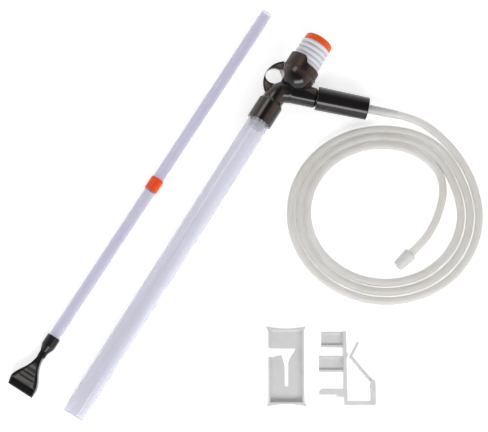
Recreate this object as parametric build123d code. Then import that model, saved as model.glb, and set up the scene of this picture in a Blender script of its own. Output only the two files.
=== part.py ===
"""Gravel vacuum siphon: pump head, gravel tube, coiled hose, extension wand and two clips.

All sizes are in millimetres.  The siphon is built in its own frame: the origin is the middle of
the gravel tube's mouth, +Y runs along the tube to the pump head, +X is the side of the outlet.
It is then set down on the floor (z = 0) beside the wand, the hose and the clips.
"""
from build123d import *
from math import asin, atan2, cos, degrees, pi, radians, sin, sqrt, tan
import os

# ---------------------------------------------------------------- clearances
FIT = 0.08          # radial clearance of a push fit or a running fit
GAP = 0.3           # clearance between faces that only pass each other
SEAT = 0.1          # play of a piece that is trapped in its seat

# ---------------------------------------------------------------- gravel tube
TUBE_OD = 34.0
TUBE_WALL = 1.8
TUBE_LENGTH = 539.0
MOUTH_ROUND = 0.6
MOUTH_WALL = 1.6            # the mouth is opened out for a gravel guard
MOUTH_BORE_DEPTH = 14.0

# ---------------------------------------------------------------- pump head
SOCKET_WALL = 2.62
SOCKET_DEPTH = 27.0         # how far the gravel tube goes in
SHOULDER_LENGTH = 5.0
SOCKET_SCOOP = 1.5          # the rim is hollowed towards its front and back
ELBOW_OD = 33.0
ELBOW_BORE = 25.2
BEND_ABOVE_TUBE = 31.0      # where the tube's axis meets the outlet's axis
BEND_RADIUS = 20.5
OUTLET_ANGLE = 69.3         # from the gravel tube's axis
OUTLET_OD = 31.2
OUTLET_END = 57.5           # along the outlet, from the bend
SPIGOT_OD = 25.8
SPIGOT_BORE = 20.6
SPIGOT_LENGTH = 27.0
PUMP_X = 12.0               # the pump stands off the tube's axis
PUMP_ABOVE_BEND = 38.5      # top of the bowl
BOWL_OD = 55.4
BOWL_SIDE = 3.5             # straight side above the round of the bowl
BOWL_WALL = 2.4
DECK_THICKNESS = 3.0
DECK_BORE = 38.0
PORT_OD = 15.0              # from the bowl into the elbow
PORT_ABOVE_BEND = 10.0      # it starts inside the elbow's bore

# ---------------------------------------------------------------- shroud round the bellows
SHROUD_OD = 53.2
SHROUD_WALL = 2.0
SHROUD_HIGH = 23.2          # on the side of the hanging ring
SHROUD_LOW = 13.5           # on the side of the outlet
BEAD_OD = 55.8
BEAD_HEIGHT = 2.6

# ---------------------------------------------------------------- bellows and its cap
BELLOWS_CREST_OD = 48.0
BELLOWS_ROOT_OD = 42.4
BELLOWS_WALL = 1.3
BELLOWS_PITCH = 8.0
BELLOWS_RIBS = 6
FOOT_THICKNESS = 2.0
CLAMP_RING_THICKNESS = 2.6
CAP_OD = 45.0
CAP_HEIGHT = 10.2
CAP_ROUND = 3.6

# ---------------------------------------------------------------- hanging ring
RING_ARC_RADIUS = 34.0
RING_ARC_X = 2.9
RING_ARC_ABOVE_BEND = 14.6
RING_HOLE_X = -17.3
RING_HOLE_ABOVE_BEND = 15.2
RING_HOLE_LONG = 27.2
RING_HOLE_SHORT = 24.0
RING_HOLE_TURN = 31.5
RING_RIM = 2.0
RING_RIM_HEIGHT = 7.0
RING_WEB = 2.2
RING_WEB_TO = 5.0           # the web ends inside the bowl and the elbow

# ---------------------------------------------------------------- strainer and valves
STRAINER_OD = 22.6
STRAINER_WALL = 1.6
STRAINER_LENGTH = 38.0
STRAINER_SLOTS = 12
STRAINER_SLOT_WIDTH = 2.6
STRAINER_BAND = 9.0
STRAINER_FLANGE = 2.0
VALVE_SEAT_THICKNESS = 3.0
VALVE_PORT_OD = 14.0
FLAP_OD = 18.0
FLAP_THICKNESS = 1.2
FLAP_PIN_OD = 1.6
FLAP_KNUCKLE_OD = 2.4
FLAP_EAR = 1.5
FLAP_EAR_WIDTH = 2.6
OUTLET_PORT_OD = 10.6
OUTLET_FLAP_OD = 14.6
OUTLET_SEAT_FROM = 64.0     # along the outlet, from the bend

# ---------------------------------------------------------------- O-rings
TUBE_SEAL_SECTION = 1.4
SLEEVE_SEAL_SECTION = 1.5

# ---------------------------------------------------------------- outlet sleeve and hose connector
SLEEVE_OD_HEAD = 36.6
SLEEVE_OD_HOSE = 34.6
SLEEVE_LENGTH = 79.0
SLEEVE_NECK_GAP = 1.0
SLEEVE_CHAMBER_OD = 24.0
SLEEVE_END_WALL = 5.0
CONNECTOR_OD = 14.2
CONNECTOR_BORE = 8.0
CONNECTOR_RIBBED = 23.0
CONNECTOR_SMOOTH = 22.0
CONNECTOR_FLANGE_OD = 22.0
CONNECTOR_FLANGE = 3.0
CONNECTOR_RIB_COUNT = 6

# ---------------------------------------------------------------- hose
HOSE_OD = 12.0
COIL_X = 232.4
COIL_Y = 493.5
COIL_TURN = 31.5            # direction of the coil's long axis
COIL_OUTER_LONG = 147.0     # half axes, out to the hose's surface
COIL_OUTER_SHORT = 137.0
COIL_BAND = 41.0

# The hose from the connector to the coil, and from the coil to its end fitting.
LEAD_ROUTE = [
    (169.97, 634.70, 13.56),
    (205.3, 648.2, 10.5),
    (243.0, 650.5, 6.3),
    (278.0, 641.5, 6.1),
    (309.0, 620.0, 6.1),
    (330.0, 598.0, 6.1),
]
TAIL_ROUTE = [
    (252.0, 602.0, 6.1),
    (274.0, 590.0, 6.1),
    (291.0, 569.0, 6.1),
    (300.0, 540.0, 6.1),
    (304.3, 508.0, 9.0),
    (301.8, 484.0, 12.0),
    (295.8, 461.7, 10.5),
]

# ---------------------------------------------------------------- fitting on the hose's end
END_FITTING_LENGTH = 29.0
END_FITTING_OD = 21.0
END_FITTING_TIP_OD = 17.0
END_FITTING_BORE = 10.0
END_FITTING_RIM = 4.0

# ---------------------------------------------------------------- extension wand
WAND_X = -87.0
WAND_TURN = -0.3            # the wand lies not quite along the gravel tube
WAND_OD = 17.7
WAND_WALL = 1.3
WAND_TOP = 673.0
WAND_JOINT_Y = 350.5
WAND_BOTTOM = 66.0
WAND_END_OD = 16.9          # the free end is eased for another coupler
WAND_END_LENGTH = 12.0
COUPLER_OD = 20.4
COUPLER_LENGTH = 21.0
COUPLER_WEB = 2.0
NOZZLE_SOCKET_OD = 20.4
NOZZLE_SOCKET_TOP = 80.7
NOZZLE_SOCKET_LOW = 64.0
NOZZLE_NECK_OD = 12.0
NOZZLE_NECK_Y = 54.0
NOZZLE_TIP_Y = -10.5
NOZZLE_DEPTH = 12.0
NOZZLE_WALL = 1.8
NOZZLE_MOUTH_BACK = 13.0    # how far the upper lip stands back from the lower one
NOZZLE_HALF_WIDTHS = [(58.0, 5.6), (36.0, 5.4), (25.0, 9.6), (16.0, 15.0), (7.0, 19.6), (-1.0, 21.2)]

# ---------------------------------------------------------------- clips
CLIP_TURN = 31.5            # the clips lie turned in the layout
PLATE_X = 224.5
PLATE_Y = 221.5
PLATE_WIDTH = 52.4
PLATE_LENGTH = 117.0
PLATE_THICKNESS = 3.0
PLATE_RIM = 3.0
PLATE_RIM_HEIGHT = 11.0
PLATE_LIP = 2.6
CLIP_X = 300.7
CLIP_Y = 264.2
CLIP_DEPTH = 20.0
CLIP_SPINE = 4.7
CLIP_HALF_LENGTH = 53.5
ARM_THICKNESS = 4.2
ARM_PIVOT = (37.6, -20.4)
ARM_BOSS = 3.6
ARM_PIN = 1.6

FLOOR = 0.0                 # everything lies on this

tube_bore = TUBE_OD - 2 * TUBE_WALL
mouth_bore = TUBE_OD - 2 * MOUTH_WALL
socket_bore = TUBE_OD + 2 * FIT
socket_od = socket_bore + 2 * SOCKET_WALL
socket_floor = TUBE_LENGTH + STRAINER_FLANGE + SEAT
socket_rim = TUBE_LENGTH - SOCKET_DEPTH
shoulder = socket_floor + 5.0
elbow_from = shoulder + SHOULDER_LENGTH
elbow_to = BEND_RADIUS * tan(radians(OUTLET_ANGLE / 2)) + 1.0
outlet_dir = Vector(sin(radians(OUTLET_ANGLE)), cos(radians(OUTLET_ANGLE)), 0)
bend_y = TUBE_LENGTH + BEND_ABOVE_TUBE
pump_y = bend_y + PUMP_ABOVE_BEND
ring_arc_y = bend_y + RING_ARC_ABOVE_BEND
ring_hole_y = bend_y + RING_HOLE_ABOVE_BEND
bend = Vector(0, bend_y, 0)
sleeve_from = OUTLET_END + SLEEVE_NECK_GAP
sleeve_to = sleeve_from + SLEEVE_LENGTH


# ================================================================ shapes used all over
def turned(outline, axis_x=0.0):
    """A solid of revolution about the line x = axis_x parallel to Y, from (radius, y) points."""
    face = make_face(Polyline(*[(axis_x + r, y) for r, y in outline], close=True))
    return revolve(face, Axis((axis_x, 0, 0), (0, 1, 0)), 360)


def ring(outer_od, inner_od, y_from, y_to, axis_x=0.0):
    """A plain ring or washer whose axis is parallel to Y."""
    outline = [(inner_od / 2, y_from), (outer_od / 2, y_from), (outer_od / 2, y_to), (inner_od / 2, y_to)]
    return turned(outline, axis_x)


def rod(od, y_from, y_to, axis_x=0.0):
    """A plain cylinder whose axis is parallel to Y."""
    return turned([(0, y_from), (od / 2, y_from), (od / 2, y_to), (0, y_to)], axis_x)


def bowl_solid(od, y_top, side, axis_x):
    """A round-bottomed bowl, filled: half a ball with a short straight side above it."""
    r = od / 2
    y_ball = y_top - side
    arc = ThreePointArc((axis_x, y_ball - r), (axis_x + r * sin(pi / 4), y_ball - r * cos(pi / 4)),
                        (axis_x + r, y_ball))
    outline = Wire([
        arc.edge(), Edge.make_line((axis_x + r, y_ball), (axis_x + r, y_top)),
        Edge.make_line((axis_x + r, y_top), (axis_x, y_top)),
        Edge.make_line((axis_x, y_top), (axis_x, y_ball - r))])
    return revolve(make_face(outline), Axis((axis_x, 0, 0), (0, 1, 0)), 360)


def o_ring(section, middle_radius, y):
    """A seal ring of round section round the Y axis."""
    section_face = Plane.XY * Pos(middle_radius, y, 0) * Circle(section / 2)
    return revolve(section_face, Axis((0, 0, 0), (0, 1, 0)), 360)


def on_outlet(shape):
    """Take a shape built along +Y from the bend and lay it along the outlet."""
    return Pos(bend.X, bend.Y, 0) * Rot(0, 0, -OUTLET_ANGLE) * shape


# ================================================================ gravel tube
def gravel_tube():
    r = TUBE_OD / 2
    mouth = mouth_bore / 2
    bore = tube_bore / 2
    return turned([
        (mouth, 0), (r - MOUTH_ROUND, 0), (r, MOUTH_ROUND), (r, TUBE_LENGTH), (bore, TUBE_LENGTH),
        (bore, MOUTH_BORE_DEPTH), (mouth, MOUTH_BORE_DEPTH)])


# ================================================================ pump head
def flow_path(from_y, to_s):
    """The middle line of the flow, from a height in the socket round the bend to the outlet."""
    start = Vector(0, from_y, 0)
    return FilletPolyline(start, bend, bend + outlet_dir * to_s, radius=BEND_RADIUS)


def pipe_along_bend(od, from_y, to_s):
    path = flow_path(from_y, to_s)
    half_turned = Plane(origin=path @ 0, z_dir=path % 0) * Rot(0, 0, 180)
    return sweep(half_turned * Circle(od / 2), path)


def hanging_ring_outer():
    """The flat web of the hanging ring, before its finger hole: a disc cut off behind the pump."""
    disc = Pos(RING_ARC_X, ring_arc_y, 0) * Cylinder(RING_ARC_RADIUS, RING_RIM_HEIGHT)
    keep = Pos(RING_WEB_TO - 50, ring_arc_y, 0) * Box(100, 4 * RING_ARC_RADIUS, 2 * RING_RIM_HEIGHT)
    return disc & keep


def at_finger_hole(face, height):
    """Stand an upright block of the given plan round the finger hole."""
    return Pos(RING_HOLE_X, ring_hole_y, 0) * Rot(0, 0, RING_HOLE_TURN) * extrude(face, height / 2, both=True)


def finger_hole():
    return at_finger_hole(Ellipse(RING_HOLE_LONG / 2, RING_HOLE_SHORT / 2), BOWL_OD)


def finger_collar(height):
    return at_finger_hole(Ellipse(RING_HOLE_LONG / 2 + RING_RIM, RING_HOLE_SHORT / 2 + RING_RIM), height)


def hanging_ring():
    """The flat web with a raised rim round its edge and round the finger hole."""
    recess = (RING_RIM_HEIGHT - RING_WEB) / 2
    web = hanging_ring_outer()
    inside = Pos(RING_ARC_X, ring_arc_y, 0) * Cylinder(RING_ARC_RADIUS - RING_RIM, RING_RIM_HEIGHT)
    for side in (-1, 1):
        slab = Pos(RING_ARC_X, ring_arc_y, side * (RING_WEB + recess) / 2)
        slab *= Box(4 * RING_ARC_RADIUS, 4 * RING_ARC_RADIUS, recess)
        web -= (inside & slab) - finger_collar(RING_RIM_HEIGHT)
    return web - rod(BEAD_OD + 2 * SEAT, pump_y, pump_y + SHROUD_HIGH, PUMP_X)


def head_outside():
    """Socket, elbow and outlet as one solid bar, before the bowl, the ring and the bores."""
    r_socket = socket_od / 2
    r_elbow = ELBOW_OD / 2
    outlet_r = OUTLET_OD / 2
    neck_r = SPIGOT_OD / 2
    socket_shell = turned([
        (0, socket_rim), (r_socket - 0.6, socket_rim), (r_socket, socket_rim + 0.6),
        (r_socket, shoulder), (r_elbow, elbow_from), (0, elbow_from)])
    scoop_half = r_socket + 1
    scoop = make_face(Wire([
        Edge.make_three_point_arc((-scoop_half, socket_rim), (0, socket_rim + SOCKET_SCOOP),
                                  (scoop_half, socket_rim)),
        Edge.make_line((scoop_half, socket_rim), (scoop_half, socket_rim - 5)),
        Edge.make_line((scoop_half, socket_rim - 5), (-scoop_half, socket_rim - 5)),
        Edge.make_line((-scoop_half, socket_rim - 5), (-scoop_half, socket_rim))]))
    socket_shell -= extrude(scoop, socket_od, both=True)
    elbow = pipe_along_bend(ELBOW_OD, elbow_from, elbow_to)
    outlet = on_outlet(turned([
        (0, elbow_to), (r_elbow, elbow_to), (outlet_r, elbow_to + 5), (outlet_r, OUTLET_END - 2.4),
        (neck_r + 0.6, OUTLET_END), (neck_r, OUTLET_END), (neck_r, OUTLET_END + SPIGOT_LENGTH),
        (0, OUTLET_END + SPIGOT_LENGTH)]))
    return socket_shell + elbow + outlet


def head_body():
    outside = head_outside()
    bowl = bowl_solid(BOWL_OD, pump_y, BOWL_SIDE, PUMP_X)
    under_deck = pump_y - DECK_THICKNESS
    hollow = bowl_solid(BOWL_OD - 2 * BOWL_WALL, under_deck, BOWL_SIDE - DECK_THICKNESS, PUMP_X)
    hollow -= outside
    hollow -= finger_collar(BOWL_OD)
    body = outside + [bowl, hanging_ring()]
    body -= finger_hole()
    body -= hollow
    body -= rod(DECK_BORE, under_deck - 1, pump_y + 1, PUMP_X)
    body -= pipe_along_bend(ELBOW_BORE, socket_floor - 1, OUTLET_END - 6)
    body -= rod(socket_bore, socket_rim - 1, socket_floor)
    body -= rod(PORT_OD, bend_y + PORT_ABOVE_BEND, under_deck - 1, PUMP_X)
    body -= on_outlet(rod(SPIGOT_BORE, elbow_to, OUTLET_END + SPIGOT_LENGTH + 1))
    groove = TUBE_SEAL_SECTION + SEAT
    seal_y = socket_rim + SOCKET_DEPTH / 2
    body -= ring(socket_bore + 2 * groove, socket_bore - 1, seal_y - groove / 2, seal_y + groove / 2)
    sleeve_groove = SLEEVE_SEAL_SECTION + SEAT
    seal_s = OUTLET_END + SPIGOT_LENGTH * 0.45
    body -= on_outlet(ring(SPIGOT_OD + 2, SPIGOT_OD - 2 * sleeve_groove + 2 * FIT,
                           seal_s - sleeve_groove / 2, seal_s + sleeve_groove / 2))
    return body


def tube_seal():
    seal_y = socket_rim + SOCKET_DEPTH / 2
    middle = TUBE_OD / 2 + FIT + TUBE_SEAL_SECTION / 2
    return o_ring(TUBE_SEAL_SECTION, middle, seal_y)


def sleeve_seal():
    seal_s = OUTLET_END + SPIGOT_LENGTH * 0.45
    middle = SPIGOT_OD / 2 - SLEEVE_SEAL_SECTION / 2
    return on_outlet(o_ring(SLEEVE_SEAL_SECTION, middle, seal_s))


# ================================================================ strainer and valves
def strainer():
    outer = STRAINER_OD / 2
    inner = outer - STRAINER_WALL
    top = TUBE_LENGTH + STRAINER_FLANGE
    low = TUBE_LENGTH - STRAINER_LENGTH
    flange = socket_bore / 2 - SEAT
    flange_low = TUBE_LENGTH + SEAT / 2
    cage = turned([
        (inner, low), (outer, low), (outer, flange_low), (flange, flange_low), (flange, top), (inner, top)])
    cage += ring(STRAINER_OD, 2.0, low, low + STRAINER_WALL)
    slot_from = low + STRAINER_BAND
    slot_to = TUBE_LENGTH - 5.0
    slot = Pos(outer, (slot_from + slot_to) / 2, 0) * Box(8, slot_to - slot_from, STRAINER_SLOT_WIDTH)
    for i in range(STRAINER_SLOTS):
        cage -= Rot(0, i * 360 / STRAINER_SLOTS, 0) * slot
    return cage


def valve_seat(od, port_od, y_from, flap_od):
    """A disc with a round port, and two ears on its far side that hold the flap's pin."""
    y_to = y_from + VALVE_SEAT_THICKNESS
    seat = ring(od, port_od, y_from, y_to)
    pin_x = -flap_od / 2 - 0.2
    pin_y = y_to + (FLAP_KNUCKLE_OD + GAP) / 2
    reach = sqrt((od / 2) ** 2 - pin_x ** 2) - 0.4
    for side in (-1, 1):
        z = side * (reach - FLAP_EAR / 2)
        ear = Pos(pin_x, (y_from + pin_y) / 2, z) * Box(FLAP_EAR_WIDTH, pin_y - y_from, FLAP_EAR)
        ear += Pos(pin_x, pin_y, z) * Cylinder(FLAP_EAR_WIDTH / 2, FLAP_EAR)
        ear -= Pos(pin_x, pin_y, z) * Cylinder(FLAP_PIN_OD / 2 + FIT, 2 * FLAP_EAR)
        seat += ear & rod(od, y_from, pin_y + FLAP_EAR_WIDTH)
    return seat, (pin_x, pin_y, reach)


def valve_flap(seat_y_to, flap_od, pin):
    """A disc that lies on the seat and swings on a pin beside it."""
    pin_x, pin_y, reach = pin
    low = seat_y_to + GAP / 2
    disc = rod(flap_od, low, low + FLAP_THICKNESS)
    between_ears = 2 * (reach - FLAP_EAR - GAP)
    lug = Pos(pin_x / 2, low + FLAP_THICKNESS / 2, 0) * Box(-pin_x, FLAP_THICKNESS, between_ears)
    knuckle = Pos(pin_x, pin_y, 0) * Cylinder(FLAP_KNUCKLE_OD / 2, between_ears)
    pin_rod = Pos(pin_x, pin_y, 0) * Cylinder(FLAP_PIN_OD / 2, 2 * reach - 0.6)
    return disc + lug + knuckle + pin_rod


# ================================================================ pump
def shroud():
    """The wall round the bellows' foot, high beside the hanging ring and low over the outlet."""
    base = pump_y
    outer = SHROUD_OD / 2
    inner = outer - SHROUD_WALL
    bead = BEAD_OD / 2
    wall = turned([
        (inner, base), (bead - 0.8, base), (bead, base + 0.8), (bead, base + BEAD_HEIGHT - 0.8),
        (bead - 0.8, base + BEAD_HEIGHT), (outer, base + BEAD_HEIGHT),
        (outer, base + SHROUD_HIGH), (inner, base + SHROUD_HIGH)], PUMP_X)
    high = base + SHROUD_HIGH
    low = base + SHROUD_LOW
    step_left = PUMP_X - 6.5
    step_right = PUMP_X + 7.5
    far = PUMP_X + 60
    outline = Wire([
        Edge.make_line((step_left, high + 10), (step_left, high)),
        Spline((step_left, high), (step_right, low), tangents=[(1, 0), (1, 0)]).edge(),
        Edge.make_line((step_right, low), (far, low)),
        Edge.make_line((far, low), (far, high + 10)),
        Edge.make_line((far, high + 10), (step_left, high + 10))])
    scoop = extrude(make_face(outline), 60, both=True)
    return wall - scoop


def bellows():
    """Corrugated wall between the clamped foot and the cap, of one thickness all over."""
    foot = pump_y + SEAT / 2
    inner_r = DECK_BORE / 2
    shroud_inner = SHROUD_OD / 2 - SHROUD_WALL
    crest = BELLOWS_CREST_OD / 2
    root = BELLOWS_ROOT_OD / 2
    start = foot + FOOT_THICKNESS + CLAMP_RING_THICKNESS
    outer = [(shroud_inner - SEAT, foot), (shroud_inner - SEAT, foot + FOOT_THICKNESS),
             (root, foot + FOOT_THICKNESS), (root, start)]
    for i in range(BELLOWS_RIBS):
        y = start + i * BELLOWS_PITCH
        outer.append((root, y + 0.16 * BELLOWS_PITCH))
        outer.append((crest, y + 0.40 * BELLOWS_PITCH))
        outer.append((crest, y + 0.66 * BELLOWS_PITCH))
        outer.append((root, y + 0.90 * BELLOWS_PITCH))
    top = start + BELLOWS_RIBS * BELLOWS_PITCH
    outer.append((root, top))
    inner = [(r - BELLOWS_WALL, y) for r, y in outer[3:]]
    inner[-1] = (inner[-1][0], top - BELLOWS_WALL)
    inner.reverse()
    outline = outer + [(0, top), (0, top - BELLOWS_WALL)] + inner
    outline += [(inner_r, foot + FOOT_THICKNESS), (inner_r, foot)]
    return turned(outline, PUMP_X), top


def clamp_ring():
    low = pump_y + SEAT / 2 + FOOT_THICKNESS
    outer = SHROUD_OD - 2 * SHROUD_WALL - 2 * SEAT
    return ring(outer, BELLOWS_ROOT_OD + 2 * GAP, low, low + CLAMP_RING_THICKNESS, PUMP_X)


def bellows_cap(low):
    """Palm button: a short drum, tapered a little, with a well rounded top edge."""
    r = CAP_OD / 2
    top = low + CAP_HEIGHT
    drum = turned([(0, low), (r - 0.8, low), (r, low + 0.8), (r - 0.5, top), (0, top)], PUMP_X)
    return fillet(drum.edges().filter_by(GeomType.CIRCLE).sort_by(Axis.Y)[-1], CAP_ROUND)


# ================================================================ outlet
def outlet_sleeve():
    bore = SPIGOT_OD / 2 + FIT
    chamber = SLEEVE_CHAMBER_OD / 2
    hole = CONNECTOR_OD / 2 + FIT
    chamber_from = OUTLET_END + SPIGOT_LENGTH + GAP
    wall_from = sleeve_to - SLEEVE_END_WALL
    r_head = SLEEVE_OD_HEAD / 2
    r_hose = SLEEVE_OD_HOSE / 2
    body = turned([
        (bore, sleeve_from), (r_head - 0.8, sleeve_from), (r_head, sleeve_from + 0.8),
        (r_hose, sleeve_to - 0.8), (r_hose - 0.8, sleeve_to), (hole, sleeve_to), (hole, wall_from),
        (chamber, wall_from), (chamber, chamber_from), (bore, chamber_from)])
    return on_outlet(body)


def hose_connector():
    """Ribbed tail that is trapped in the sleeve's end and takes the hose."""
    flange_to = sleeve_to - SLEEVE_END_WALL - SEAT
    flange_from = flange_to - CONNECTOR_FLANGE
    r = CONNECTOR_OD / 2
    bore = CONNECTOR_BORE / 2
    ribbed_to = sleeve_to + CONNECTOR_RIBBED
    smooth_to = ribbed_to + CONNECTOR_SMOOTH
    end_r = HOSE_OD / 2 + 0.5
    body = turned([
        (bore, flange_from - 6), (r - 1.5, flange_from - 6), (r - 1.5, flange_from),
        (CONNECTOR_FLANGE_OD / 2, flange_from), (CONNECTOR_FLANGE_OD / 2, flange_to),
        (r, flange_to), (r, ribbed_to), (end_r, smooth_to), (bore, smooth_to)])
    pitch = CONNECTOR_RIBBED / CONNECTOR_RIB_COUNT
    for i in range(CONNECTOR_RIB_COUNT):
        y = sleeve_to + (i + 0.75) * pitch
        body -= ring(CONNECTOR_OD + 4, CONNECTOR_OD - 1.6, y - 0.22 * pitch, y + 0.22 * pitch)
    return on_outlet(body), smooth_to


# ================================================================ hose
def corner_radii(points):
    """The largest even arcs that the runs of a hose's route leave room for."""
    radii = []
    for before, here, after in zip(points, points[1:], points[2:]):
        run_in = Vector(*here) - Vector(*before)
        run_out = Vector(*after) - Vector(*here)
        turn = radians(run_in.get_angle(run_out))
        radii.append(0.45 * min(run_in.length, run_out.length) / tan(turn / 2))
    return radii


def hose_tube(name, points):
    radii = corner_radii(points)
    path = FilletPolyline(*[Vector(*p) for p in points], radius=radii)
    start_face = Plane(origin=path @ 0, z_dir=path % 0) * Circle(HOSE_OD / 2)
    tube = sweep(start_face, path)
    share = tube.volume / (pi * (HOSE_OD / 2) ** 2 * path.length)
    print(name, "length", round(path.length, 1), "radii", [round(r) for r in radii])
    print(name, "volume share", round(share, 4))
    return tube


def hose_coil():
    outer = Ellipse(COIL_OUTER_LONG, COIL_OUTER_SHORT)
    inner = Ellipse(COIL_OUTER_LONG - COIL_BAND, COIL_OUTER_SHORT - COIL_BAND)
    band = extrude(outer - inner, HOSE_OD)
    return Pos(COIL_X, COIL_Y, FLOOR) * Rot(0, 0, COIL_TURN) * band


def hose_end_fitting():
    """Tapered nozzle on the hose's end, lying in line with the last run of the hose."""
    last = Vector(*TAIL_ROUTE[-1])
    direction = (last - Vector(*TAIL_ROUTE[-2])).normalized()
    r_flange = END_FITTING_OD / 2
    r_tip = END_FITTING_TIP_OD / 2
    bore = END_FITTING_BORE / 2
    body = turned([
        (bore, 0), (HOSE_OD / 2 + 1.2, 0), (r_flange, 2.4), (r_flange, 5.0),
        (r_tip + 0.3, END_FITTING_LENGTH - END_FITTING_RIM), (r_tip, END_FITTING_LENGTH - END_FITTING_RIM),
        (r_tip, END_FITTING_LENGTH), (bore, END_FITTING_LENGTH)])
    heading = degrees(atan2(-direction.X, direction.Y))
    dip = degrees(asin(direction.Z))
    return Pos(last.X, last.Y, last.Z) * Rot(0, 0, heading) * Rot(dip, 0, 0) * body


# ================================================================ extension wand
def wand_pieces():
    bore = WAND_OD - 2 * WAND_WALL
    low_end = WAND_JOINT_Y - COUPLER_WEB / 2 - SEAT
    high_end = WAND_JOINT_Y + COUPLER_WEB / 2 + SEAT
    lower = ring(WAND_OD, bore, WAND_BOTTOM, low_end)
    eased_from = WAND_TOP - WAND_END_LENGTH
    upper = turned([
        (bore / 2, high_end), (WAND_OD / 2, high_end), (WAND_OD / 2, eased_from),
        (WAND_END_OD / 2, eased_from), (WAND_END_OD / 2, WAND_TOP), (bore / 2, WAND_TOP)])
    fit_r = WAND_OD / 2 + FIT
    r = COUPLER_OD / 2
    low = WAND_JOINT_Y - COUPLER_LENGTH / 2
    high = WAND_JOINT_Y + COUPLER_LENGTH / 2
    web = COUPLER_WEB / 2
    coupler = turned([
        (fit_r, low), (r - 0.5, low), (r, low + 0.5), (r, high - 0.5), (r - 0.5, high), (fit_r, high),
        (fit_r, WAND_JOINT_Y + web), (bore / 2, WAND_JOINT_Y + web),
        (bore / 2, WAND_JOINT_Y - web), (fit_r, WAND_JOINT_Y - web)])
    return lower, upper, coupler


def fan_face(inset):
    """The fan of the nozzle in plan, narrow at the neck and wide at the mouth."""
    side = [(w - inset, y) for y, w in NOZZLE_HALF_WIDTHS]
    last_w = NOZZLE_HALF_WIDTHS[-1][1] - inset
    corner = (last_w - 0.6, NOZZLE_TIP_Y - 1)
    right = Spline(*side).edge()
    left = Spline(*[(-x, y) for x, y in side]).edge()
    outline = Wire([
        right, Edge.make_line(side[-1], corner),
        Edge.make_line(corner, (-corner[0], corner[1])),
        Edge.make_line((-corner[0], corner[1]), (-side[-1][0], side[-1][1])),
        left, Edge.make_line((-side[0][0], side[0][1]), side[0])])
    return make_face(outline)


def flat_nozzle():
    r = NOZZLE_SOCKET_OD / 2
    neck = NOZZLE_NECK_OD / 2
    stop = WAND_BOTTOM - SEAT
    shell = turned([
        (0, NOZZLE_SOCKET_TOP), (r - 0.5, NOZZLE_SOCKET_TOP), (r, NOZZLE_SOCKET_TOP - 0.5),
        (r, NOZZLE_SOCKET_LOW), (neck, NOZZLE_NECK_Y), (neck, NOZZLE_NECK_Y - 8), (0, NOZZLE_NECK_Y - 8)])
    fan = extrude(fan_face(0), NOZZLE_DEPTH / 2, both=True)
    shell += fan
    hollow = extrude(fan_face(NOZZLE_WALL), NOZZLE_DEPTH / 2 - NOZZLE_WALL, both=True)
    shell -= hollow
    inner_r = r - NOZZLE_WALL - 1.0
    shell -= turned([(0, stop), (inner_r, stop), (inner_r, NOZZLE_SOCKET_LOW),
                     (neck - NOZZLE_WALL, NOZZLE_NECK_Y), (neck - NOZZLE_WALL, NOZZLE_NECK_Y - 2),
                     (0, NOZZLE_NECK_Y - 2)])
    shell -= rod(WAND_OD + 2 * FIT, stop, NOZZLE_SOCKET_TOP + 1)
    mouth = make_face(Polyline(
        (NOZZLE_TIP_Y - 5, -NOZZLE_DEPTH), (NOZZLE_TIP_Y, -NOZZLE_DEPTH / 2),
        (NOZZLE_TIP_Y + NOZZLE_MOUTH_BACK, NOZZLE_DEPTH / 2),
        (NOZZLE_TIP_Y + NOZZLE_MOUTH_BACK, NOZZLE_DEPTH), (NOZZLE_TIP_Y - 5, NOZZLE_DEPTH), close=True))
    shell -= extrude(Plane.YZ * mouth, 60, both=True)
    for y in (10.0, 16.0, 22.0):
        half = 8.0 if y > 15 else 13.0
        shell -= Pos(0, y, NOZZLE_DEPTH / 2) * Box(2 * half, 1.6, 1.2)
    return shell


# ================================================================ clips
def plate_clip():
    """Saddle plate with a keyhole slot that the hose clip's tongue slides into."""
    half_w = PLATE_WIDTH / 2
    half_l = PLATE_LENGTH / 2
    sag = 3.4
    flare = 3.0
    outline = Wire([
        Edge.make_three_point_arc((-half_w - flare, half_l), (0, half_l - sag), (half_w + flare, half_l)),
        Edge.make_line((half_w + flare, half_l), (half_w, half_l - 8)),
        Edge.make_line((half_w, half_l - 8), (half_w, -half_l + 8)),
        Edge.make_line((half_w, -half_l + 8), (half_w + flare, -half_l)),
        Edge.make_three_point_arc((half_w + flare, -half_l), (0, -half_l + sag), (-half_w - flare, -half_l)),
        Edge.make_line((-half_w - flare, -half_l), (-half_w, -half_l + 8)),
        Edge.make_line((-half_w, -half_l + 8), (-half_w, half_l - 8)),
        Edge.make_line((-half_w, half_l - 8), (-half_w - flare, half_l))])
    face = make_face(outline)
    block = extrude(face, PLATE_RIM_HEIGHT)
    trough_length = PLATE_LENGTH - 2 * sag - 2 * PLATE_LIP
    trough = Pos(0, 0, PLATE_THICKNESS + 20) * Box(PLATE_WIDTH - 2 * PLATE_RIM, trough_length, 40)
    block -= trough
    slot = make_face(Polyline(
        (-half_w - 10, 26.3), (12.6, 26.3), (12.6, 23.8), (4.4, 10.8), (2.8, 5.0), (2.8, -28.6),
        (-2.0, -28.6), (-2.0, 0.0), (-4.4, 10.4), (-6.8, 17.2), (-19.8, 14.0), (-half_w - 10, 13.0),
        close=True))
    block -= extrude(slot, 40, both=True)
    return block


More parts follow.
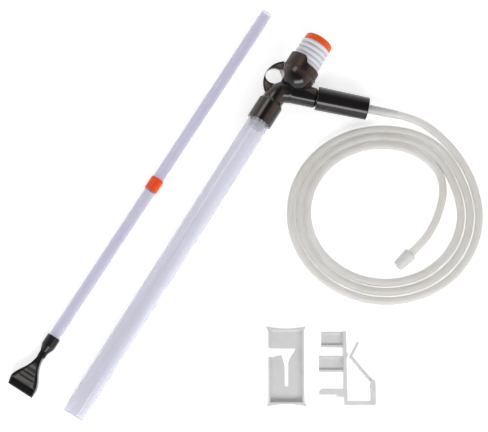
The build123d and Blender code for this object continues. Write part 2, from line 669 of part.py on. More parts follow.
def hose_clip():
    """Hooked clip: three tongues on one side of the spine and a pinch loop on the other."""
    half = CLIP_HALF_LENGTH
    bar = 6.0
    face = make_face(Polyline((-CLIP_SPINE, half), (0, half), (0, -half + bar), (35.0, -half + bar),
                              (35.0, -24.6), (41.2, -24.6), (41.2, -half), (-CLIP_SPINE, -half), close=True))
    block = extrude(face, CLIP_DEPTH)
    corners = block.edges().filter_by(Axis.Z)
    block = fillet([e for e in corners if e.center().X > 30 and e.center().Y < -40], 2.6)
    pivot = Pos(ARM_PIVOT[0], ARM_PIVOT[1], CLIP_DEPTH / 2)
    ear = Pos(ARM_PIVOT[0], ARM_PIVOT[1] - 3.2, CLIP_DEPTH / 2) * Box(2 * ARM_BOSS - 0.6, 6.4, CLIP_DEPTH)
    ear += pivot * Cylinder(ARM_BOSS, CLIP_DEPTH)
    block += ear
    block -= pivot * Cylinder(ARM_BOSS + ARM_THICKNESS, CLIP_DEPTH / 2 + 2 * GAP)
    block += pivot * Cylinder(ARM_PIN, CLIP_DEPTH)
    tongue_depth = 3.0
    tongues = [(-36.4, 53.3, 30.7), (-40.2, 18.3, -5.1)]
    for left, top, bottom in tongues:
        width = -CLIP_SPINE - left + 1
        block_place = Pos(left + width / 2, (top + bottom) / 2, CLIP_DEPTH / 2)
        block += block_place * Box(width, top - bottom, tongue_depth)
        for edge_y in (top - 1.4, bottom + 1.4):
            block += Pos(left + width / 2, edge_y, CLIP_DEPTH / 2) * Box(width, 2.8, 9.0)
    hook = make_face(Polyline((-CLIP_SPINE + 1, -29.9), (-36.5, -29.9), (-40.2, -33.0), (-40.2, -38.7),
                              (-15.3, -38.7), (-15.3, -41.6), (-CLIP_SPINE + 1, -41.6), close=True))
    block += extrude(hook, CLIP_DEPTH)
    catch = make_face(Polyline((-0.5, 24.0), (2.0, 20.6), (2.0, 17.6), (-0.5, 14.2), close=True))
    block += extrude(catch, CLIP_DEPTH)
    return block


def pinch_arm():
    """Toothed arm that swings on the loop's far bar and nips the hose against the spine."""
    px, py = ARM_PIVOT
    width = CLIP_DEPTH / 2
    low = (CLIP_DEPTH - width) / 2
    elbow = (6.2, 17.2)
    tip = (17.6, 38.2)
    centre_line = Polyline((px, py), elbow, tip)
    bar = trace(centre_line, ARM_THICKNESS)
    arm = extrude(bar, width)
    arm += Pos(px, py, width / 2) * Cylinder(ARM_BOSS, width)
    along = Vector(elbow[0] - px, elbow[1] - py, 0)
    length = along.length
    unit = along.normalized()
    side = Vector(-unit.Y, unit.X, 0)
    count = 7
    for i in range(count):
        s = length * (0.26 + 0.56 * i / (count - 1))
        base = Vector(px, py, 0) + unit * s + side * (ARM_THICKNESS / 2 - 0.3)
        tooth = make_face(Polyline(base - unit * 1.5, base + side * 2.4, base + unit * 1.5, close=True))
        arm += extrude(tooth, width)
    arm -= Pos(px, py, width / 2) * Cylinder(ARM_PIN + FIT, width + 4)
    return Pos(0, 0, low) * arm


# ================================================================ how the siphon lies
def resting_stance():
    """Turn about Y, turn about X and lift that set three round rims of the siphon on the floor."""
    feet = [
        (Vector(0, 0, 0), Vector(0, 1, 0), TUBE_OD / 2),
        (Vector(PUMP_X, pump_y + BEAD_HEIGHT / 2, 0), Vector(0, 1, 0), BEAD_OD / 2),
        (bend + outlet_dir * (sleeve_to - 0.8), outlet_dir, SLEEVE_OD_HOSE / 2)]
    roll = 0.0
    pitch = 0.0
    for _ in range(40):
        turn = Rot(pitch, 0, 0) * Rot(0, roll, 0)
        low = []
        for centre, axis, radius in feet:
            spot = (turn * Pos(*centre)).position
            direction = (turn * Pos(*axis)).position
            low.append(spot.Z - radius * sqrt(max(0.0, 1 - direction.Z ** 2)))
        pitch -= degrees((low[1] - low[0]) / feet[1][0].Y)
        roll += degrees((low[2] - low[1]) / (feet[2][0].X - feet[1][0].X))
    return Pos(0, 0, FLOOR - low[0]) * turn


# ================================================================ assembly
def build():
    stance = resting_stance()
    siphon = {}
    siphon["gravel_tube"] = gravel_tube()
    siphon["head_body"] = head_body()
    siphon["tube_seal"] = tube_seal()
    siphon["sleeve_seal"] = sleeve_seal()
    siphon["strainer"] = strainer()
    inlet_from = socket_floor + 2.0
    inlet_seat, inlet_pin = valve_seat(ELBOW_BORE - 2 * SEAT, VALVE_PORT_OD, inlet_from, FLAP_OD)
    siphon["inlet_valve_seat"] = inlet_seat
    siphon["inlet_valve_flap"] = valve_flap(inlet_from + VALVE_SEAT_THICKNESS, FLAP_OD, inlet_pin)
    outlet_seat_od = SPIGOT_BORE - 2 * SEAT
    outlet_seat, outlet_pin = valve_seat(outlet_seat_od, OUTLET_PORT_OD, OUTLET_SEAT_FROM, OUTLET_FLAP_OD)
    outlet_flap = valve_flap(OUTLET_SEAT_FROM + VALVE_SEAT_THICKNESS, OUTLET_FLAP_OD, outlet_pin)
    siphon["outlet_valve_seat"] = on_outlet(outlet_seat)
    siphon["outlet_valve_flap"] = on_outlet(outlet_flap)
    siphon["pump_shroud"] = shroud()
    siphon["bellows"], bellows_top = bellows()
    siphon["bellows_clamp_ring"] = clamp_ring()
    siphon["bellows_cap"] = bellows_cap(bellows_top)
    siphon["outlet_sleeve"] = outlet_sleeve()
    siphon["hose_connector"], connector_end = hose_connector()

    parts = {name: stance * shape for name, shape in siphon.items()}
    exit_point = (stance * Pos(*(bend + outlet_dir * connector_end))).position
    exit_dir = (stance * Pos(*outlet_dir)).position - stance.position
    print("hose exit", [round(v, 2) for v in exit_point], "direction", [round(v, 3) for v in exit_dir])
    parts["hose_lead"] = hose_tube("hose_lead", LEAD_ROUTE)
    parts["hose_coil"] = hose_coil()
    parts["hose_tail"] = hose_tube("hose_tail", TAIL_ROUTE)
    parts["hose_end_fitting"] = hose_end_fitting()

    wand_place = Pos(WAND_X, 0, FLOOR + COUPLER_OD / 2) * Rot(0, 0, WAND_TURN)
    lower, upper, coupler = wand_pieces()
    parts["wand_tube_lower"] = wand_place * lower
    parts["wand_tube_upper"] = wand_place * upper
    parts["wand_coupler"] = wand_place * coupler
    parts["flat_nozzle"] = wand_place * flat_nozzle()

    plate_place = Pos(PLATE_X, PLATE_Y, FLOOR) * Rot(0, 0, CLIP_TURN)
    clip_place = Pos(CLIP_X, CLIP_Y, FLOOR) * Rot(0, 0, CLIP_TURN)
    parts["plate_clip"] = plate_place * plate_clip()
    parts["hose_clip"] = clip_place * hose_clip()
    parts["pinch_arm"] = clip_place * pinch_arm()
    return parts


CORD_NODES = ("hose_lead", "hose_coil", "hose_tail", "hose_end_fitting")


def row_frame(parts):
    """Shift that puts the origin under the middle of everything but the hose."""
    boxes = [shape.bounding_box() for name, shape in parts.items() if name not in CORD_NODES]
    x = (min(b.min.X for b in boxes) + max(b.max.X for b in boxes)) / 2
    y = (min(b.min.Y for b in boxes) + max(b.max.Y for b in boxes)) / 2
    z = min(b.min.Z for b in boxes)
    return Vector(x, y, z)


if __name__ == "__main__":
    os.makedirs("parts", exist_ok=True)
    all_parts = build()
    origin = row_frame(all_parts)
    print("origin", [round(v, 3) for v in origin])
    for node, shape in all_parts.items():
        export_step(Pos(-origin.X, -origin.Y, -origin.Z) * shape, "parts/" + node + ".step")
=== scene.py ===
import bpy
import bmesh
from math import cos, pi, radians, sin
from mathutils import Matrix, Vector


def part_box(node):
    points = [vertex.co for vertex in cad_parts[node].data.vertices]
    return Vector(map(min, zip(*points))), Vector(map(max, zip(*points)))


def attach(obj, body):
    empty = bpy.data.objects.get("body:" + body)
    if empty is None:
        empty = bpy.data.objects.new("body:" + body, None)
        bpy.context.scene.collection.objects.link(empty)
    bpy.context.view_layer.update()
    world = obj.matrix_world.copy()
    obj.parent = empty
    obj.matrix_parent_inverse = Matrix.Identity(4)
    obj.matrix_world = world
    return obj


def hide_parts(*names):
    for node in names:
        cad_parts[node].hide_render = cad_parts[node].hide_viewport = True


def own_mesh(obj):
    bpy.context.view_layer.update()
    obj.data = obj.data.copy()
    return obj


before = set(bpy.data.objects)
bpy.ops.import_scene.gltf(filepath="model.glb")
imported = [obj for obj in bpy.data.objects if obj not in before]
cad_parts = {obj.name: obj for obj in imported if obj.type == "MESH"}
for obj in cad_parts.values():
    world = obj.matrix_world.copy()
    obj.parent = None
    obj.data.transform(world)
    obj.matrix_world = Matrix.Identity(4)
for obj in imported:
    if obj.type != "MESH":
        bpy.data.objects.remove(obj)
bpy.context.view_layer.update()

# The layout's own origin is on the floor, under the middle of the gravel tube's mouth.
COIL_CENTRE = (232.4, 493.5)
coil_low, coil_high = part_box("hose_coil")
coil_middle = (coil_low + coil_high) / 2
LAYOUT = Vector((coil_middle.x - COIL_CENTRE[0] / 1000, coil_middle.y - COIL_CENTRE[1] / 1000, 0))

# The siphon lies on three rims, so its own axes are tipped a little.
HEAD_LIFT = 16.9967
HEAD_TIP = Matrix.Rotation(radians(1.12929), 3, "X") @ Matrix.Rotation(radians(5.35815), 3, "Y")
PUMP_X = 12.0               # the pump's axis
PUMP_Y = 608.5              # top of the bowl, where the bellows stands


def mm(x, y, z=0.0):
    """A point given in millimetres of the layout, in metres of the frame."""
    return LAYOUT + Vector((x, y, z)) / 1000


def on_head(x, y, z=0.0):
    """A point in millimetres of the siphon's own axes: y along the gravel tube, x to the outlet."""
    return mm(*(HEAD_TIP @ Vector((x, y, z)) + Vector((0, 0, HEAD_LIFT))))


# ---------------------------------------------------------------- camera
VIEW_TILT = radians(13.0)
VIEW_TURN = radians(31.56)
VIEW_DISTANCE = 1.950
SENSOR_WIDTH = 36
FOCAL_WIDTHS = 2.663934     # the lens, in widths of the sensor
AIM = mm(53.7, 382.1)
SCREEN_RIGHT = Vector((cos(VIEW_TURN), sin(VIEW_TURN), 0))
SCREEN_UP = Vector((-sin(VIEW_TURN), cos(VIEW_TURN), 0))


def set_camera():
    forward = SCREEN_UP * sin(VIEW_TILT) - Vector((0, 0, 1)) * cos(VIEW_TILT)
    up = SCREEN_UP * cos(VIEW_TILT) + Vector((0, 0, 1)) * sin(VIEW_TILT)
    data = bpy.data.cameras.new("camera")
    data.sensor_width = SENSOR_WIDTH
    data.lens = SENSOR_WIDTH * FOCAL_WIDTHS
    data.clip_end = 20
    view = bpy.data.objects.new("camera", data)
    place = Matrix((SCREEN_RIGHT, up, -forward)).transposed().to_4x4()
    place.translation = AIM - forward * VIEW_DISTANCE
    view.matrix_world = place
    bpy.context.scene.collection.objects.link(view)
    bpy.context.scene.camera = view


set_camera()


# ---------------------------------------------------------------- finishes
class Finish:
    """A moulded or extruded plastic, built up from nodes that read Object coordinates."""

    def __init__(self, name, roughness=0.4, transmission=0.0, ior=1.46, coat=0.0, specular=0.5):
        self.material = bpy.data.materials.new(name)
        self.material.use_nodes = True
        self.tree = self.material.node_tree
        self.shader = self.tree.nodes["Principled BSDF"]
        self.shader.inputs["Roughness"].default_value = roughness
        self.shader.inputs["Transmission Weight"].default_value = transmission
        self.shader.inputs["IOR"].default_value = ior
        self.shader.inputs["Coat Weight"].default_value = coat
        self.shader.inputs["Coat Roughness"].default_value = 0.06
        self.shader.inputs["Specular IOR Level"].default_value = specular
        self.place = self.add("ShaderNodeTexCoord").outputs["Object"]

    def add(self, kind, **values):
        node = self.tree.nodes.new(kind)
        for key, value in values.items():
            setattr(node, key, value)
        return node

    def link(self, out, into):
        self.tree.links.new(out, into)

    def mapped(self, scale=(1, 1, 1), turn=(0, 0, 0), shift=(0, 0, 0)):
        node = self.add("ShaderNodeMapping")
        node.inputs["Scale"].default_value = scale
        node.inputs["Rotation"].default_value = turn
        node.inputs["Location"].default_value = shift
        self.link(self.place, node.inputs["Vector"])
        return node.outputs["Vector"]

    def noise(self, scale, detail=3.0, vector=None, rough=0.55):
        node = self.add("ShaderNodeTexNoise")
        node.inputs["Scale"].default_value = scale
        node.inputs["Detail"].default_value = detail
        node.inputs["Roughness"].default_value = rough
        self.link(vector or self.place, node.inputs["Vector"])
        return node.outputs["Fac"]

    def ramp(self, factor, *stops):
        node = self.add("ShaderNodeValToRGB")
        band = node.color_ramp
        while len(band.elements) < len(stops):
            band.elements.new(0.5)
        for element, (spot, colour) in zip(band.elements, stops):
            element.position = spot
            element.color = (*colour, 1)
        self.link(factor, node.inputs["Fac"])
        return node.outputs["Color"]

    def range(self, factor, low, high):
        node = self.add("ShaderNodeMapRange")
        node.inputs["To Min"].default_value = low
        node.inputs["To Max"].default_value = high
        self.link(factor, node.inputs["Value"])
        return node.outputs["Result"]

    def mix(self, factor, first, second, blend="MIX"):
        node = self.add("ShaderNodeMix", data_type="RGBA", blend_type=blend)
        for socket, value in ((node.inputs[0], factor), (node.inputs[6], first), (node.inputs[7], second)):
            if isinstance(value, tuple):
                socket.default_value = (*value, 1)
            elif isinstance(value, float):
                socket.default_value = value
            else:
                self.link(value, socket)
        return node.outputs[2]

    def math(self, operation, first, second=0.0):
        node = self.add("ShaderNodeMath", operation=operation)
        for socket, value in ((node.inputs[0], first), (node.inputs[1], second)):
            if isinstance(value, float):
                socket.default_value = value
            else:
                self.link(value, socket)
        return node.outputs[0]

    def between(self, value, start, end):
        """0 below start and 1 above end, eased; start may be the larger."""
        node = self.add("ShaderNodeMapRange", interpolation_type="SMOOTHSTEP")
        node.inputs["From Min"].default_value = start
        node.inputs["From Max"].default_value = end
        self.link(value, node.inputs["Value"])
        return node.outputs["Result"]

    def axes(self, origin, turn):
        """x, y and z in metres along a piece's own axes, which start at origin."""
        node = self.add("ShaderNodeMapping", vector_type="TEXTURE")
        node.inputs["Location"].default_value = origin
        node.inputs["Rotation"].default_value = turn
        self.link(self.place, node.inputs["Vector"])
        split = self.add("ShaderNodeSeparateXYZ")
        self.link(node.outputs["Vector"], split.inputs[0])
        return split.outputs[0], split.outputs[1], split.outputs[2]

    def head_axes(self):
        """x, y and z in metres of the siphon's own axes."""
        return self.axes(on_head(0, 0, 0), HEAD_TIP.to_euler())

    def all_of(self, first, *others):
        """A mask that is 1 only where every one of the masks is 1."""
        for other in others:
            first = self.math("MULTIPLY", first, other)
        return first

    def band(self, value, middle, outside, inside):
        """1 within inside of the middle value and 0 beyond outside of it."""
        away = self.math("ABSOLUTE", self.math("SUBTRACT", value, middle))
        return self.between(away, outside, inside)

    def distance(self, first, second, at_first, at_second):
        """How far a point is from an axis, from its two coordinates across that axis."""
        a = self.math("SUBTRACT", first, at_first)
        b = self.math("SUBTRACT", second, at_second)
        total = self.math("ADD", self.math("MULTIPLY", a, a), self.math("MULTIPLY", b, b))
        return self.math("SQRT", total)

    def colour(self, out):
        self.link(out, self.shader.inputs["Base Color"])
        return self

    def mottled(self, first, second, scale=60, edges=(0.35, 0.65)):
        """Two near shades in slow clouds, as a moulding's flow leaves them."""
        return self.ramp(self.noise(scale), (edges[0], first), (edges[1], second))

    def uneven_gloss(self, low, high, scale=120):
        self.link(self.range(self.noise(scale, 4.0), low, high), self.shader.inputs["Roughness"])
        return self

    def relief(self, height, strength, distance=0.0002):
        node = self.add("ShaderNodeBump")
        node.inputs["Strength"].default_value = strength
        node.inputs["Distance"].default_value = distance
        self.link(height, node.inputs["Height"])
        self.link(node.outputs["Normal"], self.shader.inputs["Normal"])
        return self


def dress(material, *nodes):
    for name in nodes:
        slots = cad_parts[name].data.materials
        slots.clear()
        slots.append(material)


def smoky_head():
    """Brown see-through plastic, with light and shade painted in: painted see-through light makes it paler where it
    is thin, and painted shade makes it near black at the outlet.
    """
    f = Finish("smoky_plastic", coat=0.35, specular=0.45)
    x, y, z = f.head_axes()
    brown = f.mottled((0.040, 0.024, 0.018), (0.066, 0.042, 0.033), 45)
    # The near-black tone here is painted shade, used for the outlet, the socket's line and the bottom of the bowl.
    painted_shade_tone = f.mottled((0.0055, 0.004, 0.005), (0.010, 0.007, 0.008), 45)
    # Painted shade: everything towards the outlet and below the bowl goes near black.
    outlet = f.between(f.math("SUBTRACT", x, f.between(y, 0.588, 0.598)), 0.006, 0.020)
    # Painted shade: a dark line up the middle of the socket.
    painted_shade_streak = f.all_of(f.band(x, 0.001, 0.0045, 0.0015), f.between(y, 0.582, 0.570))
    # Painted shade: a dark patch at the bottom of the bowl.
    painted_shade_well = f.all_of(f.between(f.distance(x, y, 0.014, 0.588), 0.024, 0.010), f.between(y, 0.606, 0.598))
    shade = f.mix(outlet, brown, painted_shade_tone)
    shade = f.mix(painted_shade_streak, shade, painted_shade_tone)
    shade = f.mix(painted_shade_well, shade, painted_shade_tone)
    # Painted light: the thin web of the hanging ring is painted a pale pinkish grey, for the table that shows through
    # it.
    thin = f.math("LESS_THAN", f.math("ABSOLUTE", z), 0.0013)
    in_ring = f.math("LESS_THAN", f.distance(x, y, 0.0029, 0.5846), 0.0318)
    web = f.all_of(thin, in_ring, f.between(x, -0.002, -0.004))
    # The pale pinkish grey is painted see-through light.
    shade = f.mix(web, shade, (0.26, 0.205, 0.205))
    f.colour(shade)
    f.uneven_gloss(0.12, 0.22, 90)
    f.relief(f.noise(700, 2.0), 0.05)
    return f.material


def smoky_shroud():
    """The same plastic with painted shade: a dark band up its middle, where two walls are seen together."""
    f = Finish("smoky_shroud", coat=0.05, specular=0.3)
    x, y, z = f.head_axes()
    brown = f.mottled((0.045, 0.027, 0.020), (0.072, 0.046, 0.036), 45)
    # The darker tone is painted shade, for the band.
    painted_shade_tone = f.mottled((0.016, 0.009, 0.007), (0.026, 0.016, 0.013), 45)
    # Painted shade: a dark band up the middle of the shroud.
    painted_shade_band = f.band(x, PUMP_X / 1000 + 0.003, 0.007, 0.003)
    f.colour(f.mix(painted_shade_band, brown, painted_shade_tone))
    f.uneven_gloss(0.30, 0.42, 90)
    f.relief(f.noise(700, 2.0), 0.05)
    return f.material


def black_sleeve():
    """Polished black."""
    f = Finish("black_plastic", coat=0.5)
    f.colour(f.mottled((0.0035, 0.002, 0.003), (0.007, 0.005, 0.006), 40))
    f.uneven_gloss(0.16, 0.24, 70)
    f.relief(f.noise(600, 2.0), 0.04)
    return f.material


def clear_tube(name, shade, lines):
    """Extruded see-through plastic, with faint drawing lines along it."""
    f = Finish(name, transmission=0.84, ior=1.36)
    streaks = f.noise(lines, 2.0, f.mapped(scale=(1.0, 0.02, 1.0)))
    f.colour(f.ramp(streaks, (0.3, tuple(c * 0.95 for c in shade)), (0.7, shade)))
    f.uneven_gloss(0.02, 0.05, 50)
    f.relief(streaks, 0.03)
    return f.material


def moulded(name, first, second, low=0.3, high=0.45, coat=0.1, transmission=0.0):
    """A plain moulding: two near shades, and a gloss between low and high."""
    f = Finish(name, coat=coat, transmission=transmission)
    f.colour(f.mottled(first, second))
    f.uneven_gloss(low, high)
    f.relief(f.noise(900, 2.0), 0.06)
    return f.material


NOZZLE_X = -87.0
NOZZLE_HEIGHT = 10.2
WAND_TURN = radians(-0.3)
GROOVE_PITCH = 0.0075


def nozzle_plastic():
    """Dark moulding with a paler flat face, crossed by painted dark stripes, inside a black border. The stripes are
    painted shade for grooves that are not cut in the mesh.
    """
    f = Finish("nozzle_plastic", coat=0.15, specular=0.45)
    x, y, z = f.axes(mm(NOZZLE_X, 0, NOZZLE_HEIGHT), (0, 0, WAND_TURN))
    black = f.mottled((0.007, 0.006, 0.007), (0.013, 0.012, 0.013), 60)
    pale = f.mottled((0.110, 0.102, 0.095), (0.155, 0.145, 0.135), 90)
    from_middle = f.math("ABSOLUTE", x)
    # The face narrows towards the neck and keeps a black border on each side.
    half_width = f.math("SUBTRACT", 0.0185, f.math("MULTIPLY", y, 0.46))
    on_fan = f.between(f.math("SUBTRACT", half_width, from_middle), 0.0, 0.0015)
    face = f.all_of(on_fan, f.between(z, 0.0052, 0.0058), f.between(y, 0.036, 0.030))
    # Painted shade: dark stripes across the face stand for the shade in its grooves, which the mesh does not have.
    ripple = f.math("SINE", f.math("MULTIPLY", y, 2 * pi / GROOVE_PITCH))
    painted_groove_shade = f.all_of(f.between(ripple, 0.35, 0.8), f.between(from_middle, 0.0125, 0.0105))
    face = f.math("MULTIPLY", face, f.math("SUBTRACT", 1.0, f.math("MULTIPLY", painted_groove_shade, 0.75)))
    # The throat behind the slot mouth.
    throat = f.all_of(f.between(y, 0.004, 0.001), f.between(z, -0.0035, -0.0030), f.between(z, 0.0050, 0.0044))
    shade = f.mix(face, black, pale)
    f.colour(f.mix(f.math("MULTIPLY", throat, 0.5), shade, (0.030, 0.014, 0.008)))
    f.uneven_gloss(0.24, 0.38, 80)
    f.relief(f.noise(700, 2.0), 0.05)
    return f.material


def bellows_rubber():
    """Soft white, with painted shade: cool and greyer down in the folds."""
    f = Finish("bellows_rubber", specular=0.35)
    x, y, z = f.head_axes()
    out = f.distance(x, z, PUMP_X / 1000, 0.0)
    # Painted shade: greyer and cooler towards the valleys of the folds, by distance from the pump's axis.
    painted_fold_shade = f.ramp(f.between(out, 0.0211, 0.0236),
                  (0.0, (0.60, 0.61, 0.68)),
                  (0.45, (0.76, 0.77, 0.82)),
                  (1.0, (0.88, 0.88, 0.90)))
    f.colour(f.mix(f.range(f.noise(55), 0.0, 0.12), painted_fold_shade, (0.78, 0.78, 0.83)))
    f.uneven_gloss(0.42, 0.6, 80)
    f.relief(f.noise(500, 3.0), 0.1)
    return f.material


smoky = smoky_head()
shroud_smoky = smoky_shroud()
white_rubber = bellows_rubber()
black = black_sleeve()
nozzle_grey = nozzle_plastic()
tube_clear = clear_tube("clear_tube", (0.90, 0.90, 0.965), 160)
wand_clear = clear_tube("clear_wand", (0.87, 0.86, 0.955), 200)
orange_band = moulded("orange_coupler", (0.98, 0.070, 0.003), (1.0, 0.085, 0.005), 0.28, 0.4, 0.1)
orange_cap = moulded("orange_cap", (0.98, 0.105, 0.001), (1.0, 0.120, 0.002), 0.35, 0.5, 0.0)
white_ring = moulded("white_plastic", (0.78, 0.78, 0.78), (0.84, 0.84, 0.84))
strainer_white = moulded("strainer_white", (0.93, 0.93, 0.90), (0.97, 0.97, 0.94))
valve_plastic = moulded("valve_plastic", (0.60, 0.60, 0.58), (0.70, 0.70, 0.68))
valve_rubber = moulded("valve_rubber", (0.05, 0.05, 0.055), (0.08, 0.08, 0.085), 0.55, 0.7, 0.0)
seal_rubber = moulded("seal_rubber", (0.02, 0.02, 0.02), (0.035, 0.035, 0.035), 0.5, 0.65, 0.0)
connector_white = moulded("connector_white", (0.76, 0.76, 0.75), (0.84, 0.84, 0.82), 0.3, 0.4,
                          transmission=0.15)
fitting_white = moulded("fitting_white", (0.80, 0.80, 0.79), (0.88, 0.88, 0.87), 0.3, 0.4,
                        transmission=0.1)
clip_white = moulded("clip_white", (0.76, 0.76, 0.76), (0.81, 0.81, 0.81), 0.4, 0.55, 0.0)

dress(smoky, "head_body")
dress(shroud_smoky, "pump_shroud")
dress(black, "outlet_sleeve")
dress(nozzle_grey, "flat_nozzle")
dress(tube_clear, "gravel_tube")
dress(wand_clear, "wand_tube_lower", "wand_tube_upper")
dress(orange_band, "wand_coupler")
dress(orange_cap, "bellows_cap")
dress(white_ring, "bellows_clamp_ring")
dress(strainer_white, "strainer")
dress(valve_plastic, "inlet_valve_seat", "outlet_valve_seat")
dress(valve_rubber, "inlet_valve_flap", "outlet_valve_flap")
dress(seal_rubber, "tube_seal", "sleeve_seal")
dress(connector_white, "hose_connector")
dress(fitting_white, "hose_end_fitting")
dress(clip_white, "plate_clip", "hose_clip", "pinch_arm")


# ---------------------------------------------------------------- hose
HOSE_OD = 12.0
COIL_TURN = radians(31.5)
COIL_LONG = 142.2
COIL_SHORT = 133.0
LAY_HEIGHT = 6.1
START_ANGLE = 16.6
COIL_SWEEP = 1045.7
POINTS_A_TURN = 24
STEP_EARLY = 0.13           # a turn steps inwards this part of a turn before it closes
STEP_TAKES = 0.12           # and is a whole strand further in after this part of a turn
STRAND_PITCH = 13.3
FAN_RIGHT = 0.7
FAN_LOW = 0.8

LEAD_ROUTE = [
    (169.97, 634.70, 13.56),
    (189.4, 642.1, 11.9),
    (220.6, 645.5, 8.4),
    (254.1, 639.6, 6.4),
    (284.0, 628.2, 6.1),
    (310.3, 612.6, 6.1),
]
TAIL_ROUTE = [
    (274.0, 590.0, 6.1),
    (291.0, 569.0, 6.1),
    (300.0, 540.0, 6.1),
    (304.3, 508.0, 9.0),
    (301.8, 484.0, 12.0),
    (295.8, 461.7, 10.5),
]


def coil_points():
    """Nearly three turns winding inwards. Each steps in by a strand near the lead, and they fan out low and right."""
    count = round(COIL_SWEEP / 360 * POINTS_A_TURN)
    points = []
    for i in range(count + 1):
        turns = COIL_SWEEP / 360 * i / count
        angle = radians(START_ANGLE - 360 * turns)
        whole = int(turns + STEP_EARLY)
        share = min(1.0, (turns + STEP_EARLY - whole) / STEP_TAKES)
        step = whole - 1 + share * share * (3 - 2 * share) if whole else 0.0
        spread = STRAND_PITCH + FAN_RIGHT * cos(angle) - FAN_LOW * sin(angle)
        inward = spread * step + 0.3 * sin(5.0 * turns + 0.4)
        x = (COIL_LONG - inward) * cos(angle)
        y = (COIL_SHORT - inward) * sin(angle)
        points.append((COIL_CENTRE[0] + x * cos(COIL_TURN) - y * sin(COIL_TURN),
                       COIL_CENTRE[1] + x * sin(COIL_TURN) + y * cos(COIL_TURN), LAY_HEIGHT))
    return points


def hose():
    """The whole hose, from the sleeve to its end fitting, as one curve."""
    points = LEAD_ROUTE + coil_points() + TAIL_ROUTE
    data = bpy.data.curves.new("hose", "CURVE")
    data.dimensions = "3D"
    line = data.splines.new("NURBS")
    line.points.add(len(points) - 1)
    for point, spot in zip(line.points, points):
        point.co = (*mm(*spot), 1)
    line.order_u = 3
    line.use_endpoint_u = True
    line.resolution_u = 6
    data.bevel_depth = HOSE_OD / 2000
    data.bevel_resolution = 6
    data.use_fill_caps = True
    piece = bpy.data.objects.new("hose", data)
    bpy.context.scene.collection.objects.link(piece)
    return piece


def hose_vinyl():
    """Milky soft vinyl."""
    f = Finish("hose_vinyl", coat=0.10, transmission=0.5, ior=1.3)
    f.colour(f.mottled((0.83, 0.81, 0.77), (0.88, 0.87, 0.86), 14))
    f.uneven_gloss(0.26, 0.40, 30)
    f.relief(f.noise(260, 2.0), 0.05)
    return f.material


hose_piece = hose()
hose_piece.data.materials.append(hose_vinyl())
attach(hose_piece, "siphon_head")
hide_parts("hose_lead", "hose_coil", "hose_tail")


# ---------------------------------------------------------------- bellows
BELLOWS_FOOT = PUMP_Y + 0.05
BELLOWS_TOP = 661.15
FOOT_HEIGHT = 2.0
FOOT_RADIUS = 24.5
FOOT_BORE_RADIUS = 19.0
VALLEY_RADIUS = 21.2
FIRST_VALLEY = 4.6          # above the foot's underside
FOLD_DEPTH = 2.8
FOLD_FULLNESS = 0.62        # under 1 makes the crests rounder than the valleys
BELLOWS_WALL = 1.3
AIR_HOLE_RADIUS = 0.6       # in the middle of the top
EASE = 0.1                  # taken off the foot's corners
RIBS = 6
RIB_PITCH = 8.0
POINTS_A_RIB = 14


def turned_piece(name, outline, to_place):
    """Spins a closed outline of (radius, height) round its own axis and sets every point in place."""
    bm = bmesh.new()
    ring = [bm.verts.new((r, 0, h)) for r, h in outline]
    edges = [bm.edges.new((ring[i], ring[(i + 1) % len(ring)])) for i in range(len(ring))]
    bmesh.ops.spin(bm, geom=ring + edges, cent=(0, 0, 0), axis=(0, 0, 1), angle=2 * pi,
                   steps=96, use_merge=True, use_duplicate=False)
    bmesh.ops.remove_doubles(bm, verts=bm.verts, dist=1e-4)
    for v in bm.verts:
        v.co = to_place(v.co)
    bmesh.ops.recalc_face_normals(bm, faces=bm.faces)
    for face in bm.faces:
        face.smooth = True
    mesh = bpy.data.meshes.new(name)
    bm.to_mesh(mesh)
    bm.free()
    piece = bpy.data.objects.new(name, mesh)
    bpy.context.scene.collection.objects.link(piece)
    return piece


def bellows():
    """The concertina wall: a flat foot, six folds and a closed top."""
    foot_top = BELLOWS_FOOT + FOOT_HEIGHT
    start = BELLOWS_FOOT + FIRST_VALLEY
    foot = [(FOOT_RADIUS - EASE, BELLOWS_FOOT), (FOOT_RADIUS, BELLOWS_FOOT + EASE),
            (FOOT_RADIUS, foot_top - EASE), (FOOT_RADIUS - EASE, foot_top),
            (VALLEY_RADIUS + EASE, foot_top), (VALLEY_RADIUS, foot_top + EASE)]
    folds = [(VALLEY_RADIUS, start)]
    for i in range(RIBS):
        for j in range(1, POINTS_A_RIB + 1):
            phase = j / POINTS_A_RIB
            bulge = (0.5 - 0.5 * cos(2 * pi * phase)) ** FOLD_FULLNESS
            folds.append((VALLEY_RADIUS + FOLD_DEPTH * bulge, start + (i + phase) * RIB_PITCH))
    inner = [(r - BELLOWS_WALL, h) for r, h in folds[:-1]]
    inner.append((VALLEY_RADIUS - BELLOWS_WALL, BELLOWS_TOP - BELLOWS_WALL))
    inner.reverse()
    folds[-1] = (VALLEY_RADIUS, BELLOWS_TOP)
    top = [(AIR_HOLE_RADIUS, BELLOWS_TOP), (AIR_HOLE_RADIUS, BELLOWS_TOP - BELLOWS_WALL)]
    bore = [(FOOT_BORE_RADIUS, foot_top), (FOOT_BORE_RADIUS, BELLOWS_FOOT)]
    outline = foot + folds + top + inner + bore
    piece = turned_piece("bellows_wall", outline, lambda c: on_head(PUMP_X + c.x, c.z, c.y))
    piece.data.materials.append(white_rubber)
    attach(piece, "siphon_head")
    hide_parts("bellows")
    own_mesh(piece)


bellows()


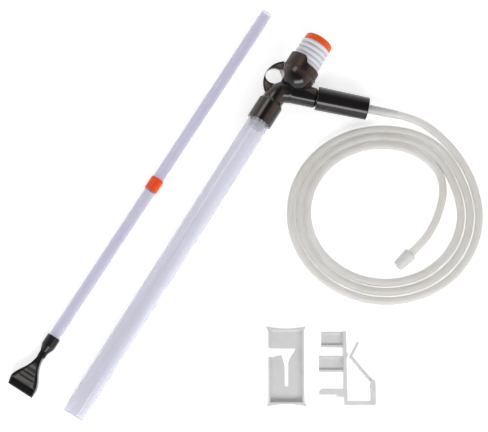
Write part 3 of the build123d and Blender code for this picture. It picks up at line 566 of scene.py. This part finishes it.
# ---------------------------------------------------------------- studio
def floor():
    """A plain white floor, lit a little from itself so that it stays even."""
    bm = bmesh.new()
    bmesh.ops.create_grid(bm, x_segments=1, y_segments=1, size=4.0)
    mesh = bpy.data.meshes.new("floor")
    bm.to_mesh(mesh)
    bm.free()
    obj = bpy.data.objects.new("floor", mesh)
    bpy.context.scene.collection.objects.link(obj)
    mat = bpy.data.materials.new("floor")
    mat.use_nodes = True
    shader = mat.node_tree.nodes["Principled BSDF"]
    shader.inputs["Base Color"].default_value = (0.98, 0.98, 0.98, 1)
    shader.inputs["Roughness"].default_value = 0.9
    shader.inputs["Specular IOR Level"].default_value = 0.2
    shader.inputs["Emission Color"].default_value = (1, 1, 1, 1)
    shader.inputs["Emission Strength"].default_value = 0.55
    mesh.materials.append(mat)


floor()


def area_light(name, place, look_at, size, power, size_y=None):
    data = bpy.data.lights.new(name, "AREA")
    data.energy = power
    data.size = size
    if size_y:
        data.shape = "RECTANGLE"
        data.size_y = size_y
    lamp = bpy.data.objects.new(name, data)
    lamp.location = place
    lamp.rotation_euler = (look_at - place).to_track_quat("-Z", "Y").to_euler()
    bpy.context.scene.collection.objects.link(lamp)


def dark_overhead():
    """A world that is white near the horizon and dark overhead, so dark glossy pieces stay dark."""
    world = bpy.data.worlds.new("studio")
    world.use_nodes = True
    nodes, links = world.node_tree.nodes, world.node_tree.links
    sky = nodes.new("ShaderNodeTexCoord")
    height = nodes.new("ShaderNodeSeparateXYZ")
    flag = nodes.new("ShaderNodeValToRGB")
    links.new(sky.outputs["Generated"], height.inputs[0])
    links.new(height.outputs["Z"], flag.inputs["Fac"])
    horizon, overhead = flag.color_ramp.elements
    horizon.position = 0.25
    horizon.color = (1, 1, 1, 1)
    overhead.position = 0.85
    overhead.color = (0.14, 0.14, 0.14, 1)
    links.new(flag.outputs["Color"], nodes["Background"].inputs[0])
    nodes["Background"].inputs[1].default_value = 0.9
    bpy.context.scene.world = world


MIDDLE = mm(60, 350)
# The long box stands on the near side, and draws the bright line along the sleeve.
LONG_BOX_AT = MIDDLE - SCREEN_UP * 1.3 + SCREEN_RIGHT * 0.25 + Vector((0, 0, 1.0))
area_light("key", mm(-900, 900, 1700), MIDDLE, 0.7, 4)
area_light("long_box", LONG_BOX_AT, MIDDLE, 1.8, 16, size_y=0.60)
dark_overhead()
bpy.context.scene.view_settings.view_transform = "Standard"
